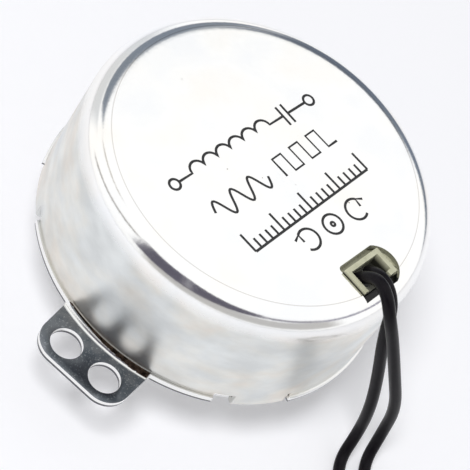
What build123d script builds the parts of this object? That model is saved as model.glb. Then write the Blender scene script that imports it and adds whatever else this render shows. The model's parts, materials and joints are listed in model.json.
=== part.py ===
"""A geared synchronous motor, 50 mm across: claw-pole stator, magnet rotor and a 100:1 gear train
in one crimped steel can.

Millimetres. Z runs along the shaft axis, and Z = 0 is the mounting plane, the underside of both ears.
The output shaft points down, the rear face with the leads points up, and the ears lie on the X axis.
"""

from build123d import *
from math import acos, atan2, cos, degrees, hypot, pi, radians, sin, sqrt, tan
import os

# Can: a drawn steel cup, open towards the output shaft
CAN_R = 25.0
CAN_WALL = 0.8
CAN_TOP = 21.0
RIM_R = 3.6
TAB_INNER_R = 22.0
# Each crimp tab stands in a slot of the wall and plate that is wider on the side of the nearer ear:
# (slot start, tab start, tab end, slot end) in degrees
TABS_DEG = ((37, 44, 62, 63), (-68, -67, -49, -45))
TABS_DEG += tuple(tuple(angle + 180 for angle in tab) for tab in TABS_DEG)
SLOT_HEIGHT = 0.7

# Mounting plate: a disc half-sheared up from its two ears
PLATE_THICK = 1.0
PLATE_STEP = 0.8
PLATE_R = 25.3
EAR_END = 32.4
EAR_ROOT_HALF = 7.25
EAR_END_HALF = 7.1
EAR_CORNER_R = 3.5
EAR_HOLE_X = 29.0
EAR_HOLE_Y = 3.3
EAR_HOLE_R = 2.3

# Gearbox, from the mounting plate up to the base plate
BASE_BOTTOM = 9.0
BASE_THICK = 1.0
INNER_PLATE_R = 24.1
POST_CIRCLE_R = 19.5
POST_R = 2.0
TENON_R = 1.2
RIVET_HEAD_BOTTOM = 0.2
BASE_BORE_R = 3.4
PIN_R = 0.75
RUNNING_GAP = 0.05
END_GAP = 0.15
SHOULDER = 0.2
GEAR_LEVELS = ((2.45, 4.15), (4.4, 5.7), (5.9, 7.2), (7.4, 8.7))
PRESSURE_ANGLE = 20.0
BACKLASH = 0.06
FINE_MODULE = 0.4
COARSE_MODULE = 0.5
SHIFT = 0.5
PINION_ADDENDUM = 0.8
WHEEL_ADDENDUM = 1.0
DEDENDUM = 1.25
ROTOR_TEETH = 10
BIG_WHEEL_TEETH = 32
SMALL_PINION_TEETH = 8
MID_WHEEL_TEETH = 25
FIRST_PIN_ANGLE = 90.0
THIRD_PIN_ANGLE = -10.0
HUB_R = 1.5
BOSS_R = 1.25
WHEEL_HOLES = 5
WHEEL_HOLE_SHARE = 0.28

# Output shaft and its bearing
SHAFT_R = 3.5
SHAFT_TIP = -10.0
FLAT_END = -3.2
FLAT_DEPTH = 0.5
TIP_CHAMFER = 0.4
JOURNAL_R = 3.0
JOURNAL_RISE = 0.05
BUSHING_BORE_R = 3.55
BUSHING_R = 5.0
BUSHING_TOP = 2.2
BUSHING_FLANGE_R = 6.5
BOSS_OUTER_R = 5.5
BOSS_END = -2.0
CLIP_R = 4.9
CLIP_BOTTOM = -2.7
CLIP_THICK = 0.6
CLIP_GAP_DEG = (150, 210)

# Stator
CLAWS = 12
CLAW_INNER_R = 11.3
CLAW_THICK = 0.8
CLAW_GAP = 1.0
CLAW_ROOT_HALF = 1.25
CLAW_TIP_HALF = 0.65
RING_THICK = 0.8
STATOR_BOTTOM = 10.0
STATOR_TOP = 20.2
BOBBIN_TUBE_R = 13.1
BOBBIN_BORE_R = 12.3
BOBBIN_FLANGE_R = 23.0
FLANGE_THICK = 0.8
WINDING_R = 21.4
TAPE_THICK = 0.35
COIL_PIN_R = 0.35
SOLDER_R = 0.7
SOLDER_HEIGHT = 0.35

# Rotor, on a fixed pin between the output shaft and the rear face
MAGNET_R = 10.9
MAGNET_BORE_R = 8.4
MAGNET_SPAN = (11.3, 19.0)
ROTOR_TUBE_R = 2.6
ROTOR_TUBE_SPAN = (8.95, 18.8)
ROTOR_WEB_SPAN = (14.4, 15.9)
WEB_HOLE_R = 1.6
WEB_HOLES_AT_R = 5.5
ROTOR_PIN_BOTTOM = 2.9
WASHER_R = 2.4
WASHER_SPAN = (18.85, 19.05)
PIN_SEAT_R = 3.0
PIN_SEAT_BOTTOM = 19.1

# Lead exit: its middle lies at this angle, and its outline is in radial and tangential millimetres
EXIT_ANGLE = 82.1
HOLE_IN, HOLE_OUT = 16.85, 22.75
HOLE_SIDE = 3.55
HOLE_MIDDLE = 19.7
HOLE_BULGE = (3.2, 4.95, 2.9)
HOLE_CORNER_R = 0.6
BOX_IN, BOX_OUT = 17.7, 21.7
BOX_HALF = 3.4
BOX_WALL = 0.7
BOX_TOP = 21.5
BOX_LOW_TOP = 20.6
BOX_LOW_END = 2.0
RING_NOTCH_HALF = 5.2

# Leads: two PVC wires, 150 mm long from the exit to the end of the insulation
LEAD_D = 1.7
FLOOR = SHAFT_TIP
LEAD_A = [
    (4.2, 18.9, 20.1), (4.3, 19.3, 21.3), (5.0, 21.1, 23.7), (6.3, 23.3, 23.9), (7.1, 25.4, 22.0),
    (5.6, 27.6, 17.4), (3.2, 30.8, 9.8), (0.5, 33.9, 1.9), (-0.6, 34.8, -5.2), (2.7, 35.8, -9.15),
    (6.0, 38.6, -9.15), (8.6, 42.6, -9.15), (12.7, 46.1, -9.15),
]
LEAD_B = [
    (2.0, 19.3, 20.1), (2.6, 19.9, 21.5), (3.4, 21.6, 22.6), (4.2, 23.4, 22.3), (4.8, 25.0, 20.6),
    (4.7, 26.4, 15.7), (3.1, 29.6, 6.4), (2.5, 31.4, 0.3), (1.7, 32.3, -5.7), (5.3, 33.0, -9.15),
    (8.6, 35.6, -9.15), (11.3, 41.2, -8.5), (12.9, 44.9, -7.4),
]
COIL_CENTRE = (10.3, 56.0)
COIL_IN_R, COIL_OUT_R = 6.2, 11.1
STRIPPED = 5.0
CONDUCTOR_R = 0.45
END_ANGLES = (150, 200)
END_TURN = 150


def ring(outer, inner, low, high):
    """A flat ring about Z; an inner radius of 0 gives a disc."""
    solid = Pos(0, 0, (low + high) / 2) * Cylinder(outer, high - low)
    if inner > 0:
        solid -= Pos(0, 0, (low + high) / 2) * Cylinder(inner, high - low + 1)
    return solid


def at(x, y):
    return Pos(x, y, 0)


def polar(radius, angle):
    return radius * cos(radians(angle)), radius * sin(radians(angle))


def sector(start, end, inner, outer, low, high):
    """A block of a ring between two angles in degrees."""
    middle = (start + end) / 2
    arc = ThreePointArc(polar(outer, start), polar(outer, middle), polar(outer, end))
    back = ThreePointArc(polar(inner, end), polar(inner, middle), polar(inner, start))
    sides = [Line(arc @ 1, back @ 0), Line(back @ 1, arc @ 0)]
    return Pos(0, 0, low) * extrude(make_face([arc, back, *sides]), high - low)


def write(name, solids):
    """One STEP file, with every solid of the node side by side."""
    found = [s for one in solids for s in one.solids()]
    shape = found[0] if len(found) == 1 else Compound(children=found)
    export_step(shape, f"parts/{name}.step")


# ---- can and mounting plate ----


def can():
    low = PLATE_STEP + PLATE_THICK
    centre_r, centre_z = CAN_R - RIM_R, CAN_TOP - RIM_R
    inner = RIM_R - CAN_WALL
    k = sqrt(0.5)
    outside = ThreePointArc(
        (centre_r, CAN_TOP), (centre_r + RIM_R * k, centre_z + RIM_R * k), (CAN_R, centre_z)
    )
    inside = ThreePointArc(
        (CAN_R - CAN_WALL, centre_z),
        (centre_r + inner * k, centre_z + inner * k),
        (centre_r, CAN_TOP - CAN_WALL),
    )
    edges = [
        Line((0, CAN_TOP), outside @ 0),
        outside,
        Line(outside @ 1, (CAN_R, low)),
        Line((CAN_R, low), (CAN_R - CAN_WALL, low)),
        Line((CAN_R - CAN_WALL, low), inside @ 0),
        inside,
        Line(inside @ 1, (0, CAN_TOP - CAN_WALL)),
        Line((0, CAN_TOP - CAN_WALL), (0, CAN_TOP)),
    ]
    cup = revolve(Plane.XZ * make_face(edges), Axis.Z, 360)
    for slot_start, start, end, slot_end in TABS_DEG:
        cup -= sector(slot_start, slot_end, CAN_R - 2, CAN_R + 1, 0, low + SLOT_HEIGHT)
        cup += crimp_tab(start, end, low + SLOT_HEIGHT)
    return cup - lead_hole(CAN_TOP - 2 * CAN_WALL, CAN_TOP + 1)


def crimp_tab(start, end, top):
    """A tongue of the wall that passes the plate's edge and is bent in under the plate."""
    inner = CAN_R - CAN_WALL
    bend = PLATE_STEP
    k = bend * sqrt(0.5)
    corner = ThreePointArc((CAN_R, bend), (inner + k, bend - k), (inner, 0))
    edges = [
        Line((CAN_R, top), (CAN_R, bend)),
        corner,
        Line((inner, 0), (TAB_INNER_R, 0)),
        Line((TAB_INNER_R, 0), (TAB_INNER_R, bend)),
        Line((TAB_INNER_R, bend), (inner, bend)),
        Line((inner, bend), (inner, top)),
        Line((inner, top), (CAN_R, top)),
    ]
    tab = revolve(Plane.XZ * make_face(edges), Axis.Z, end - start)
    return Rot(0, 0, start) * tab


def exit_point(radial, tangential):
    """A point given in the lead exit's own radial and tangential directions."""
    x, y = polar(radial, EXIT_ANGLE)
    return x - tangential * sin(radians(EXIT_ANGLE)), y + tangential * cos(radians(EXIT_ANGLE))


def exit_block(inner, outer, side_from, side_to, low, high):
    corners = [(inner, side_from), (outer, side_from), (outer, side_to), (inner, side_to)]
    face = make_face(Polyline(*[exit_point(*c) for c in corners], close=True).edges())
    return Pos(0, 0, low) * extrude(face, high - low)


def lead_hole(low, high):
    """The opening in the rear face: three straight sides, one of its corners round, and a bulge."""
    inner, middle, outer = HOLE_BULGE
    a, b = exit_point(HOLE_IN, -HOLE_SIDE), exit_point(HOLE_IN, inner)
    c, d = exit_point(HOLE_OUT, outer), exit_point(HOLE_OUT, -HOLE_SIDE)
    bulge = ThreePointArc(b, exit_point(HOLE_MIDDLE, middle), c)
    face = make_face([Line(a, b), bulge, Line(c, d), Line(d, a)])
    corner = face.vertices().sort_by_distance((*a, 0))[0]
    return Pos(0, 0, low) * extrude(fillet(corner, HOLE_CORNER_R), high - low)


def gear_pins_at():
    """The centres of the three gear pins, from the centre distances of the four meshes."""
    coarse = COARSE_MODULE * (SMALL_PINION_TEETH + MID_WHEEL_TEETH) / 2
    middle = FINE_MODULE * (SMALL_PINION_TEETH + MID_WHEEL_TEETH) / 2
    large = FINE_MODULE * (ROTOR_TEETH + BIG_WHEEL_TEETH) / 2
    first, third = polar(large, FIRST_PIN_ANGLE), polar(coarse, THIRD_PIN_ANGLE)
    dx, dy = third[0] - first[0], third[1] - first[1]
    apart = hypot(dx, dy)
    along = (middle**2 - large**2 + apart**2) / (2 * apart)
    off = sqrt(middle**2 - along**2)
    second = (first[0] + (along * dx - off * dy) / apart, first[1] + (along * dy + off * dx) / apart)
    return first, second, third


def mounting_plate():
    top = PLATE_STEP + PLATE_THICK
    plate = ring(PLATE_R, 0, PLATE_STEP, top)
    for side in (0, 180):
        plate += Rot(0, 0, side) * ear()
    for slot_start, _, _, slot_end in TABS_DEG:
        inner = CAN_R - CAN_WALL - RUNNING_GAP
        plate -= sector(slot_start, slot_end, inner, PLATE_R + 1, 0, top + 1)
    plate -= ring(BUSHING_R, 0, 0, top + 1)
    for x, y in gear_pins_at():
        plate -= at(x, y) * ring(PIN_R, 0, 0, top + 1)
    for x, y in post_places():
        plate -= at(x, y) * ring(TENON_R, 0, 0, top + 1)
    return plate


def ear():
    root = PLATE_R - 2.0
    outline = Polyline(
        (root, -EAR_ROOT_HALF), (EAR_END, -EAR_END_HALF), (EAR_END, EAR_END_HALF), (root, EAR_ROOT_HALF),
        close=True,
    )
    face = make_face(outline.edges())
    outer = face.vertices().group_by(Axis.X)[-1]
    tongue = extrude(fillet(outer, EAR_CORNER_R), PLATE_THICK)
    for y in (-EAR_HOLE_Y, EAR_HOLE_Y):
        tongue -= at(EAR_HOLE_X, y) * ring(EAR_HOLE_R, 0, -1, PLATE_THICK + 1)
    return tongue


def post_places():
    return [polar(POST_CIRCLE_R, angle) for angle in (90, 210, 330)]


def spacer_posts():
    """Shouldered rivets that hold the base plate off the mounting plate."""
    low = PLATE_STEP + PLATE_THICK
    post = ring(POST_R, 0, low, BASE_BOTTOM)
    post += ring(TENON_R, 0, PLATE_STEP, low) + ring(POST_R, 0, RIVET_HEAD_BOTTOM, PLATE_STEP)
    post += ring(TENON_R, 0, BASE_BOTTOM, BASE_BOTTOM + BASE_THICK)
    return [at(x, y) * post for x, y in post_places()]


def gear_base_plate():
    top = BASE_BOTTOM + BASE_THICK
    plate = ring(INNER_PLATE_R, BASE_BORE_R, BASE_BOTTOM, top)
    first, _, third = gear_pins_at()
    for x, y in (first, third):
        plate -= at(x, y) * ring(PIN_R, 0, 0, top + 1)
    for x, y in post_places():
        plate -= at(x, y) * ring(TENON_R, 0, 0, top + 1)
    return plate


def output_bushing():
    """A flanged bronze bearing, staked in the plate, whose boss also centres the motor in a panel."""
    bearing = ring(BUSHING_R, 0, PLATE_STEP, BUSHING_TOP) + ring(BUSHING_FLANGE_R, 0, 0, PLATE_STEP)
    bearing += ring(BOSS_OUTER_R, 0, BOSS_END, 0)
    return bearing - ring(BUSHING_BORE_R, 0, BOSS_END - 1, BUSHING_TOP + 1)


# ---- gears ----


def gear(teeth, module, shift, addendum, low, high, bore, phase):
    """An involute spur gear about Z with a tooth at the angle phase, in degrees."""
    pitch_r = module * teeth / 2
    base_r = pitch_r * cos(radians(PRESSURE_ANGLE))
    tip_r = pitch_r + module * (addendum + shift)
    root_r = pitch_r - module * (DEDENDUM - shift)
    thick = module * (pi / 2 + 2 * shift * tan(radians(PRESSURE_ANGLE))) - BACKLASH
    flank_start = max(base_r, root_r)

    def half_angle(radius):
        at_radius = acos(min(1.0, base_r / radius))
        at_pitch = radians(PRESSURE_ANGLE)
        involute = (tan(at_pitch) - at_pitch) - (tan(at_radius) - at_radius)
        return degrees(thick / (2 * pitch_r) + involute)

    middle_r = (flank_start + tip_r) / 2
    edges = []
    for k in range(teeth):
        turn = phase + 360 * k / teeth
        start, middle, tip = (half_angle(r) for r in (flank_start, middle_r, tip_r))
        rise = [polar(r, turn - h) for r, h in ((flank_start, start), (middle_r, middle), (tip_r, tip))]
        fall = [polar(r, turn + h) for r, h in ((tip_r, tip), (middle_r, middle), (flank_start, start))]
        foot, next_foot = polar(root_r, turn + start), polar(root_r, turn + 360 / teeth - start)
        if flank_start > root_r:
            edges.append(Line(polar(root_r, turn - start), rise[0]))
        edges.append(ThreePointArc(*rise))
        edges.append(ThreePointArc(rise[2], polar(tip_r, turn), fall[0]))
        edges.append(ThreePointArc(*fall))
        if flank_start > root_r:
            edges.append(Line(fall[2], foot))
        edges.append(ThreePointArc(foot, polar(root_r, turn + 180 / teeth), next_foot))
    solid = Pos(0, 0, low) * extrude(make_face(edges), high - low)
    return solid - ring(bore, 0, low - 1, high + 1)


def meshed_phase(phase, teeth, from_xy, to_xy, other_teeth):
    """The phase of a gear that meshes with one whose phase is known."""
    line = degrees(atan2(to_xy[1] - from_xy[1], to_xy[0] - from_xy[0]))
    share = (line - phase) * teeth / 360
    return line + 180 - (0.5 - share) * 360 / other_teeth


def pinion(teeth, module, level, bore, phase):
    return gear(teeth, module, SHIFT, PINION_ADDENDUM, *level, bore, phase)


def wheel(teeth, module, level, bore, phase):
    """A wheel with a ring of round lightening holes between its bore and its teeth."""
    solid = gear(teeth, module, -SHIFT, WHEEL_ADDENDUM, *level, bore, phase)
    root_r = module * (teeth / 2 - DEDENDUM - SHIFT)
    hole_r = (root_r - bore) * WHEEL_HOLE_SHARE
    for k in range(WHEEL_HOLES):
        x, y = polar((root_r + bore) / 2, 360 * k / WHEEL_HOLES)
        solid -= at(x, y) * ring(hole_r, 0, level[0] - 1, level[1] + 1)
    return solid


def gear_train():
    """Every gear of the train in mesh: rotor pinion, three compound gears and the output gear."""
    output_level, third_level, second_level, first_level = GEAR_LEVELS
    first, second, third = gear_pins_at()
    centre = (0.0, 0.0)
    bore = PIN_R + RUNNING_GAP
    floor = PLATE_STEP + PLATE_THICK + END_GAP
    made = {}

    made["rotor"] = pinion(ROTOR_TEETH, FINE_MODULE, (first_level[0], ROTOR_TUBE_SPAN[0]), bore, 0)

    phase = meshed_phase(0, ROTOR_TEETH, centre, first, BIG_WHEEL_TEETH)
    teeth = wheel(BIG_WHEEL_TEETH, FINE_MODULE, first_level, HUB_R, phase)
    made["first_gear_wheel"] = at(*first) * teeth
    shoulder = second_level[1] + SHOULDER
    teeth = pinion(SMALL_PINION_TEETH, FINE_MODULE, (second_level[0], shoulder), bore, 0)
    hubs = ring(HUB_R, bore, shoulder, first_level[1] + SHOULDER / 2)
    made["first_gear_pinion"] = at(*first) * (teeth + hubs + ring(BOSS_R, bore, floor, second_level[0]))

    phase = meshed_phase(0, SMALL_PINION_TEETH, first, second, MID_WHEEL_TEETH)
    teeth = wheel(MID_WHEEL_TEETH, FINE_MODULE, second_level, HUB_R, phase)
    made["second_gear_wheel"] = at(*second) * teeth
    teeth = pinion(ROTOR_TEETH, FINE_MODULE, third_level, bore, 0)
    hubs = ring(HUB_R, bore, third_level[1], second_level[1])
    made["second_gear_pinion"] = at(*second) * (teeth + hubs + ring(BOSS_R, bore, floor, third_level[0]))

    phase = meshed_phase(0, ROTOR_TEETH, second, third, BIG_WHEEL_TEETH)
    teeth = wheel(BIG_WHEEL_TEETH, FINE_MODULE, third_level, HUB_R, phase)
    made["third_gear_wheel"] = at(*third) * teeth
    teeth = pinion(SMALL_PINION_TEETH, COARSE_MODULE, output_level, bore, 0)
    hubs = ring(HUB_R, bore, output_level[1], third_level[1]) + ring(BOSS_R, bore, floor, output_level[0])
    hubs += ring(BOSS_R, bore, third_level[1], BASE_BOTTOM - END_GAP)
    made["third_gear_pinion"] = at(*third) * (teeth + hubs)

    phase = meshed_phase(0, SMALL_PINION_TEETH, third, centre, MID_WHEEL_TEETH)
    made["output_gear"] = wheel(MID_WHEEL_TEETH, COARSE_MODULE, output_level, JOURNAL_R, phase)
    return made


def gear_pins():
    """Steel pins pressed in the plate; the second is short, because the first wheel runs over it."""
    top = BASE_BOTTOM + BASE_THICK
    heights = (top, GEAR_LEVELS[2][1], top)
    places = zip(gear_pins_at(), heights)
    return [at(*place) * ring(PIN_R, 0, PLATE_STEP, height) for place, height in places]


# ---- output shaft ----


def output_shaft():
    low, top = GEAR_LEVELS[0]
    shaft = ring(SHAFT_R, 0, SHAFT_TIP, low) + ring(JOURNAL_R, 0, low, top + JOURNAL_RISE)
    end = shaft.edges().filter_by(GeomType.CIRCLE).sort_by(Axis.Z)[0]
    shaft = chamfer(end, TIP_CHAMFER)
    shaft -= ring(SHAFT_R + 1, JOURNAL_R, CLIP_BOTTOM, CLIP_BOTTOM + CLIP_THICK)
    flat = Box(2 * SHAFT_R, 3 * SHAFT_R, FLAT_END - SHAFT_TIP)
    shaft -= Pos(2 * SHAFT_R - FLAT_DEPTH, 0, (FLAT_END + SHAFT_TIP) / 2) * flat
    return shaft - ring(PIN_R + RUNNING_GAP, 0, low, top + 1)


def shaft_circlip():
    clip = ring(CLIP_R, JOURNAL_R, CLIP_BOTTOM, CLIP_BOTTOM + CLIP_THICK)
    return clip - sector(*CLIP_GAP_DEG, JOURNAL_R - 1, CLIP_R + 1, CLIP_BOTTOM - 1, CLIP_BOTTOM + 1)


# ---- rotor ----


def rotor_hub(pinion_teeth):
    bore = PIN_R + RUNNING_GAP
    hub = ring(ROTOR_TUBE_R, bore, *ROTOR_TUBE_SPAN) + ring(MAGNET_BORE_R, bore, *ROTOR_WEB_SPAN)
    for k in range(6):
        x, y = polar(WEB_HOLES_AT_R, 60 * k)
        hub -= at(x, y) * ring(WEB_HOLE_R, 0, ROTOR_WEB_SPAN[0] - 1, ROTOR_WEB_SPAN[1] + 1)
    return hub + pinion_teeth


def rotor_spacer():
    """A sleeve on the rotor pin, between the output shaft and the rotor's pinion."""
    return ring(BOSS_R, PIN_R, GEAR_LEVELS[0][1] + END_GAP, GEAR_LEVELS[3][0] - SHOULDER / 2)


def thrust_washer():
    return ring(BUSHING_R, BUSHING_BORE_R, BUSHING_TOP, GEAR_LEVELS[0][0] - RUNNING_GAP)


# ---- stator ----


def claw_ring(outer, low, high, tip, first_angle):
    """A flat pole ring whose tapered claws are bent along the rotor, as far as the tip height."""
    inner, claw_out = CLAW_INNER_R, CLAW_INNER_R + CLAW_THICK
    flat = ring(outer, claw_out, low, high)
    root = low if tip > low else high
    finger = make_face(
        Polyline(
            (-CLAW_ROOT_HALF, root), (CLAW_ROOT_HALF, root), (CLAW_TIP_HALF, tip), (-CLAW_TIP_HALF, tip),
            close=True,
        ).edges()
    )
    block = extrude(Plane.YZ * finger, inner + 2)
    claw = block & ring(claw_out, inner, min(root, tip), max(root, tip))
    for k in range(CLAWS):
        flat += Rot(0, 0, first_angle + 360 * k / CLAWS) * claw
    return flat


def front_pole_ring():
    low = STATOR_BOTTOM
    return claw_ring(INNER_PLATE_R, low, low + RING_THICK, STATOR_TOP - RING_THICK - CLAW_GAP, 0)


def rear_pole_ring():
    low = STATOR_TOP - RING_THICK
    tip = STATOR_BOTTOM + RING_THICK + CLAW_GAP
    disc = claw_ring(CAN_R - RIM_R, low, STATOR_TOP, tip, 180 / CLAWS)
    notch = exit_block(HOLE_IN, CAN_R, -RING_NOTCH_HALF, RING_NOTCH_HALF, low - 1, STATOR_TOP + 1)
    return disc - notch


def bobbin():
    """The coil former: a spool with the box that leads the wires out of the rear face."""
    low, high = STATOR_BOTTOM + RING_THICK, STATOR_TOP - RING_THICK
    spool = ring(BOBBIN_TUBE_R, BOBBIN_BORE_R, low, high)
    spool += ring(BOBBIN_FLANGE_R, BOBBIN_BORE_R, low, low + FLANGE_THICK)
    spool += ring(BOBBIN_FLANGE_R, BOBBIN_BORE_R, high - FLANGE_THICK, high)
    wall = BOX_WALL
    box = exit_block(BOX_IN, BOX_OUT, -BOX_HALF, BOX_HALF, high, BOX_TOP)
    box -= exit_block(BOX_IN + wall, BOX_OUT - wall, wall - BOX_HALF, BOX_HALF - wall, high, BOX_TOP + 1)
    box -= exit_block(BOX_OUT - wall, CAN_R, wall - BOX_HALF, BOX_LOW_END, BOX_LOW_TOP, BOX_TOP + 1)
    spool += box
    for x, y, _ in (LEAD_A[0], LEAD_B[0]):
        spool -= at(x, y) * ring(COIL_PIN_R, 0, high - 2, high + 1)
    return spool


def winding():
    low, high = spool_window()
    return ring(WINDING_R, BOBBIN_TUBE_R, low, high)


def winding_tape():
    low, high = spool_window()
    return ring(WINDING_R + TAPE_THICK, WINDING_R, low, high)


def spool_window():
    return STATOR_BOTTOM + RING_THICK + FLANGE_THICK, STATOR_TOP - RING_THICK - FLANGE_THICK


def terminal_pins():
    high = STATOR_TOP - RING_THICK
    pin = ring(COIL_PIN_R, 0, high - FLANGE_THICK, high)
    return [at(x, y) * pin for x, y, _ in (LEAD_A[0], LEAD_B[0])]


def solder_joints():
    high = STATOR_TOP - RING_THICK
    joint = ring(SOLDER_R, 0, high, high + SOLDER_HEIGHT)
    return [at(x, y) * joint for x, y, _ in (LEAD_A[0], LEAD_B[0])]


# ---- leads ----


def lead_tube(name, points):
    """Straight runs joined by the largest tangent arcs that the runs allow."""
    places = [Vector(*p) for p in points]
    runs = [b - a for a, b in zip(places, places[1:])]
    radii = []
    for a, b in zip(runs, runs[1:]):
        turn = radians(a.get_angle(b))
        radii.append(0.45 * min(a.length, b.length) / tan(turn / 2))
    path = FilletPolyline(*points, radius=radii)
    section = Plane(origin=places[0], z_dir=runs[0]) * Circle(LEAD_D / 2)
    tube = sweep(section, path=path)
    expected = pi * (LEAD_D / 2) ** 2 * path.length
    print(name, "radii", [round(r, 1) for r in radii], "length", round(path.length, 1))
    print(name, "volume", round(tube.volume, 2), "section times length", round(expected, 2))
    return tube


def lead_coil(low):
    x, y = COIL_CENTRE
    return at(x, y) * ring(COIL_OUT_R, COIL_IN_R, low, low + LEAD_D)


def lead_ends():
    """The stripped, tinned conductors, lying inside the coil."""
    ends = []
    for layer, angle in enumerate(END_ANGLES):
        x, y = polar(COIL_IN_R - CONDUCTOR_R, angle)
        height = FLOOR + LEAD_D * (layer + 0.5)
        place = Vector(COIL_CENTRE[0] + x, COIL_CENTRE[1] + y, height)
        inward = Vector(*polar(1, angle + END_TURN), 0)
        rod = Pos(0, 0, STRIPPED / 2) * Cylinder(CONDUCTOR_R, STRIPPED)
        ends.append(Plane(origin=place, z_dir=inward) * rod)
    return ends


def main():
    os.makedirs("parts", exist_ok=True)
    train = gear_train()
    write("can", [can()])
    write("mounting_plate", [mounting_plate()])
    write("spacer_posts", spacer_posts())
    write("gear_base_plate", [gear_base_plate()])
    write("output_bushing", [output_bushing()])
    for number, pin in enumerate(gear_pins(), 1):
        write(f"gear_pin_{number}", [pin])
    write("output_shaft", [output_shaft()])
    write("shaft_circlip", [shaft_circlip()])
    write("thrust_washer", [thrust_washer()])
    write("rotor_hub", [rotor_hub(train.pop("rotor"))])
    for name, solid in train.items():
        write(name, [solid])
    write("ring_magnet", [ring(MAGNET_R, MAGNET_BORE_R, *MAGNET_SPAN)])
    write("rotor_pin", [ring(PIN_R, 0, ROTOR_PIN_BOTTOM, STATOR_TOP)])
    write("rotor_pin_seat", [ring(PIN_SEAT_R, PIN_R, PIN_SEAT_BOTTOM, STATOR_TOP)])
    write("rotor_washer", [ring(WASHER_R, PIN_R + RUNNING_GAP, *WASHER_SPAN)])
    write("rotor_spacer", [rotor_spacer()])
    write("front_pole_ring", [front_pole_ring()])
    write("rear_pole_ring", [rear_pole_ring()])
    write("bobbin", [bobbin()])
    write("winding", [winding()])
    write("winding_tape", [winding_tape()])
    write("terminal_pins", terminal_pins())
    write("solder_joints", solder_joints())
    write("lead_a", [lead_tube("lead_a", LEAD_A)])
    write("lead_b", [lead_tube("lead_b", LEAD_B)])
    write("lead_a_coil", [lead_coil(FLOOR)])
    write("lead_b_coil", [lead_coil(FLOOR + LEAD_D)])
    write("lead_ends", lead_ends())


main()
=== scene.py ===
"""Geared synchronous motor: the visual model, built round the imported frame.

Metres. Z runs along the output shaft, the rear face with the leads points up, and the two ears lie
on the X axis. The motor stands on the tip of its shaft, with both leads down to the table.
"""

import json
from math import atan2, cos, degrees, hypot, pi, radians, sin

import bmesh
import bpy
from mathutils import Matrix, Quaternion, Vector


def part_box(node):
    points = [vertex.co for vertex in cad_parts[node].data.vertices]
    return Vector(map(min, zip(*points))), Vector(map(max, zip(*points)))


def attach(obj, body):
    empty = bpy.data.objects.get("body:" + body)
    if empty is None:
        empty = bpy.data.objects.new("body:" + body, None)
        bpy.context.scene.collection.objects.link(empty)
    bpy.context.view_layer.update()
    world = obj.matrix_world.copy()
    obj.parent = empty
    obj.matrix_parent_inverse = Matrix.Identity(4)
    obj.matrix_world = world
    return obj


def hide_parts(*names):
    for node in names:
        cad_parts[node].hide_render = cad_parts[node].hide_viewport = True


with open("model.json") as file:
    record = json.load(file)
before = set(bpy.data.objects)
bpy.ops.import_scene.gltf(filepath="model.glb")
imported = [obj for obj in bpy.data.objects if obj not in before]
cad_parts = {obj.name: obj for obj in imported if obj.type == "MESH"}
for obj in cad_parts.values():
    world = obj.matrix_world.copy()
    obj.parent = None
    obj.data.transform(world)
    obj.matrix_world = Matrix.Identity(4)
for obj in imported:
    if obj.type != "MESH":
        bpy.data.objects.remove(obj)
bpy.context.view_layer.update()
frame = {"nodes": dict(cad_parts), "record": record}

bl_info = {
    "name": "Geared Synchronous Motor",
    "version": (1, 0, 0),
    "blender": (4, 5, 0),
    "location": "View3D > Sidebar > Motor",
    "description": "Builds the visual model of a small geared synchronous motor round its CAD frame",
    "category": "Object",
}

MM = 0.001
UP = Vector((0, 0, 1))

# Plain numbers are millimetres or degrees. Those with MM or read from the frame are metres.

# Can and plate: sizes of their own, and sizes that the frame gives
CAN_R = 25 * MM
CAN_WALL = 0.8 * MM
CAN_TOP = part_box("rear_pole_ring")[1].z + CAN_WALL
EAR_TOP = 1.0 * MM
PLATE_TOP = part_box("mounting_plate")[1].z
PLATE_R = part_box("mounting_plate")[1].y
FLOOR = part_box("output_shaft")[0].z
WELD = 0.001 * MM

# Can: wall, rim and the crimp tabs, each in a slot as (slot start, tab start, tab end, slot end)
CAN_SEGMENTS = 360
WALL_RINGS, WALL_RING_STEP = 5, 2.5
RIM_STEPS = 12
CAN_EDGE = 0.1
SLOT_HEIGHT = 0.7 * MM
FACE_RINGS = (20.9, 16.0, 8.0)
TAB_INNER_R = 22 * MM
TABS_DEG = ((37, 44, 62, 63), (-68, -67, -49, -45))
TABS_DEG += tuple(tuple(angle + 180 for angle in tab) for tab in TABS_DEG)
TAB_BEND_R = 0.85 * MM
TAB_BEND_STEPS = 6

# Plate: the round corner where an ear's top meets the disc, and how exactly its edges are found
EAR_ROOT_ROUND = 0.7
ROOT_SLACK_Z, ROOT_SLACK_R = 0.02, 0.05

# Lead exit in the rear face, in its own radial and tangential millimetres
EXIT_ANGLE = 82.1
HOLE_IN, HOLE_MIDDLE, HOLE_OUT = 16.85, 19.7, 22.75
HOLE_SIDE = 3.55
HOLE_BULGE = (3.2, 4.95, 2.9)
HOLE_CORNER_R = 0.6

# Leads: the free route of each, then its turns in the coil, inwards from the last point of the route
LEAD_A = [
    (4.2, 18.9, 20.1), (4.3, 19.3, 21.3), (5.0, 21.1, 23.7), (6.3, 23.3, 23.9), (7.1, 25.4, 22.0),
    (5.6, 27.6, 17.4), (3.2, 30.8, 9.8), (0.5, 33.9, 1.9), (-0.6, 34.8, -5.2), (2.7, 35.8, -9.15),
    (6.0, 38.6, -9.15), (8.6, 42.6, -9.15), (12.7, 46.1, -9.15),
]
LEAD_B = [
    (2.0, 19.3, 20.1), (2.6, 19.9, 21.5), (3.4, 21.6, 22.6), (4.2, 23.4, 22.3), (4.8, 25.0, 20.6),
    (4.7, 26.4, 15.7), (3.1, 29.6, 6.4), (2.5, 31.4, 0.3), (1.7, 32.3, -5.7), (5.3, 33.0, -9.15),
    (8.6, 35.6, -9.15), (11.3, 41.2, -8.5), (12.9, 44.9, -7.4),
]
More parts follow.
